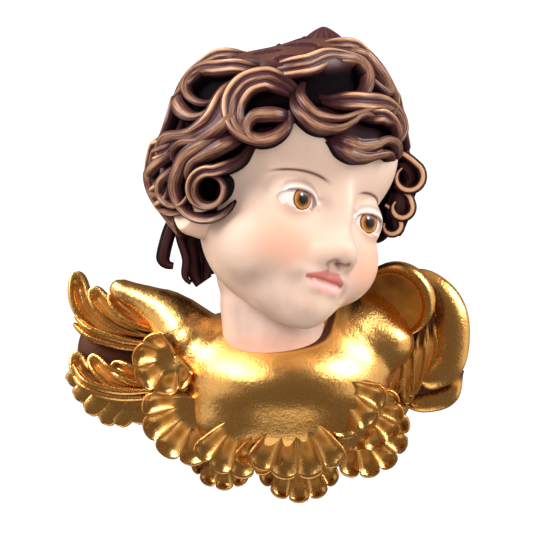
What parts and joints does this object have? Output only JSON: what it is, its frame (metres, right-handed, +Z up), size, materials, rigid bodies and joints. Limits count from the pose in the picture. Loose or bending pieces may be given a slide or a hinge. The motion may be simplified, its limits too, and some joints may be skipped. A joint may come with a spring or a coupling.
{
  "type": "carved angel head wall ornament",
  "caption": "Painted and gilded wooden angel head with curled hair, a shell-feathered breast and a wing on each side, made to hang flat on a wall.",
  "frame": {"origin": "on the flat back, where the carving meets the wall, behind the breast", "axes": "+Y into the wall, +Z up, +X to the viewer's right"},
  "size_m": [0.2574, 0.1654, 0.2995],
  "materials": {
    "gilded_wood": "burnished gold leaf over limewood, bright on the high places and dark in the hollows",
    "painted_flesh": "pale flesh paint with rosy cheeks and grey shading, satin",
    "painted_hair": "brown paint, dark in the hollows and ochre on the ridges, satin"
  },
  "bodies": {
    "root": {"angel_head": "gilded_wood"}
  },
  "joints": []
}
